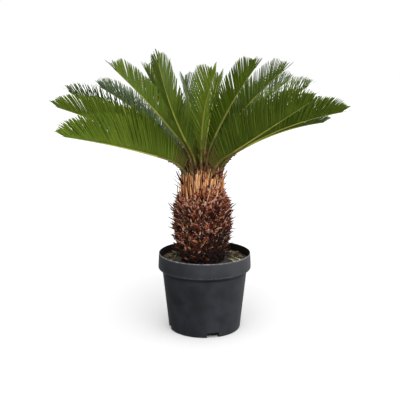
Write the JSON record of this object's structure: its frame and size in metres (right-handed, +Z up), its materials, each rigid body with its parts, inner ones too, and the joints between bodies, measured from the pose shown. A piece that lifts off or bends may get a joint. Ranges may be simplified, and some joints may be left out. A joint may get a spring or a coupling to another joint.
{
  "type": "potted sago palm",
  "caption": "Stout cycad: arching feather fronds on a short trunk armoured with old leaf bases, growing in a round black nursery pot with a wide collar.",
  "frame": {"origin": "centre of the pot's flat underside, on the pot's axis", "axes": "+Z up along the pot's axis; -Y is the front, the side that the picture shows; +X is to the right as seen from the front"},
  "size_m": [1.0459, 1.0864, 1.0436],
  "materials": {
    "black_plastic": "satin",
    "potting_soil": "matte",
    "old_leaf_bases": "matte",
    "frond_green": "satin"
  },
  "bodies": {
    "root": {"pot": "black_plastic", "soil": "potting_soil", "trunk": "old_leaf_bases", "frond_01": "frond_green", "frond_02": "frond_green", "frond_03": "frond_green", "frond_04": "frond_green", "frond_05": "frond_green", "frond_06": "frond_green", "frond_07": "frond_green", "frond_08": "frond_green", "frond_09": "frond_green", "frond_10": "frond_green", "frond_11": "frond_green", "frond_12": "frond_green", "frond_13": "frond_green", "frond_14": "frond_green", "frond_15": "frond_green", "frond_16": "frond_green", "frond_17": "frond_green", "frond_18": "frond_green", "frond_19": "frond_green", "frond_20": "frond_green", "frond_21": "frond_green", "frond_22": "frond_green", "frond_23": "frond_green"}
  },
  "joints": []
}
